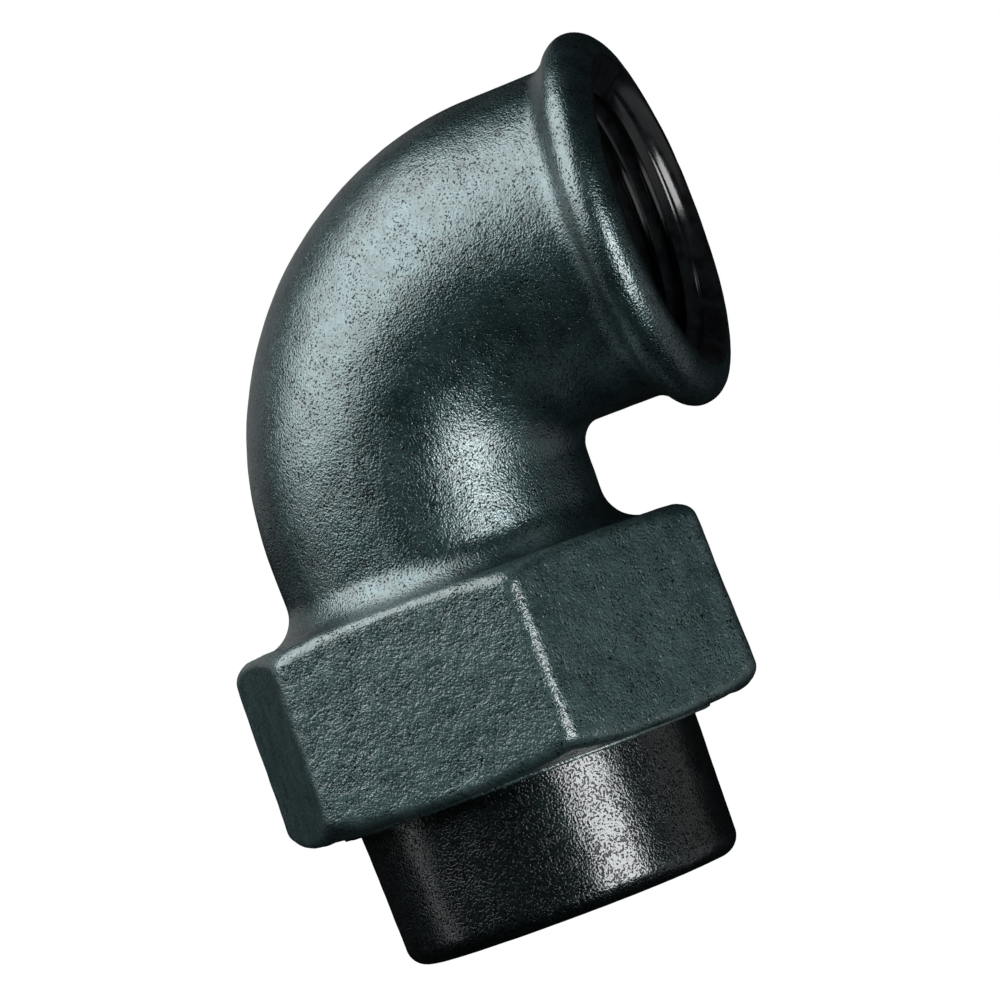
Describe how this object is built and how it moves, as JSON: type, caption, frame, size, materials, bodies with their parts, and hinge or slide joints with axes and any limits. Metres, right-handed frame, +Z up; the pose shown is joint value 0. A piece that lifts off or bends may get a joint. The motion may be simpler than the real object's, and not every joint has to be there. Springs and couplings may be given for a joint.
{
  "type": "pipe union elbow",
  "caption": "Right-angle threaded pipe elbow in dark cast iron with a beaded mouth and a hexagonal union nut over a short straight tail.",
  "frame": {"origin": "middle of the bounding box in plan, at the foot of the tail piece; the axis of the leg is 3.849 mm towards -X from it, and the two axes cross 72 mm above it", "axes": "+Z up along the leg, from the tail piece to the elbow; +X out of the mouth of the branch"},
  "size_m": [0.0684, 0.055, 0.0947],
  "materials": {
    "elbow_iron": "rough black casting skin",
    "nut_iron": "rough black casting skin",
    "gasket_fibre": "matte pressed fibre",
    "tail_iron": "rough black casting skin"
  },
  "bodies": {
    "tail": {"tail_piece": "tail_iron"},
    "gasket": {"flat_gasket": "gasket_fibre"},
    "nut": {"union_nut": "nut_iron"},
    "elbow": {"elbow_body": "elbow_iron"}
  },
  "joints": [
    {"name": "swivel", "type": "hinge", "parent": "tail", "child": "gasket", "pos_m": [-0.00385, 0, 0.0265], "axis": [0, 0, 1], "continuous": true},
    {"name": "nut_turn", "type": "hinge", "parent": "gasket", "child": "nut", "pos_m": [-0.00385, 0, 0.0285], "axis": [0, 0, -1], "range_deg": [0, 1620]},
    {"name": "elbow_lift", "type": "slide", "parent": "gasket", "child": "elbow", "axis": [0, 0, 1], "range_m": [0, 0.0104]}
  ],
  "couplings": [
    {"joint": "elbow_lift", "follows": "nut_turn", "m_per_rad": 0.0003675}
  ]
}
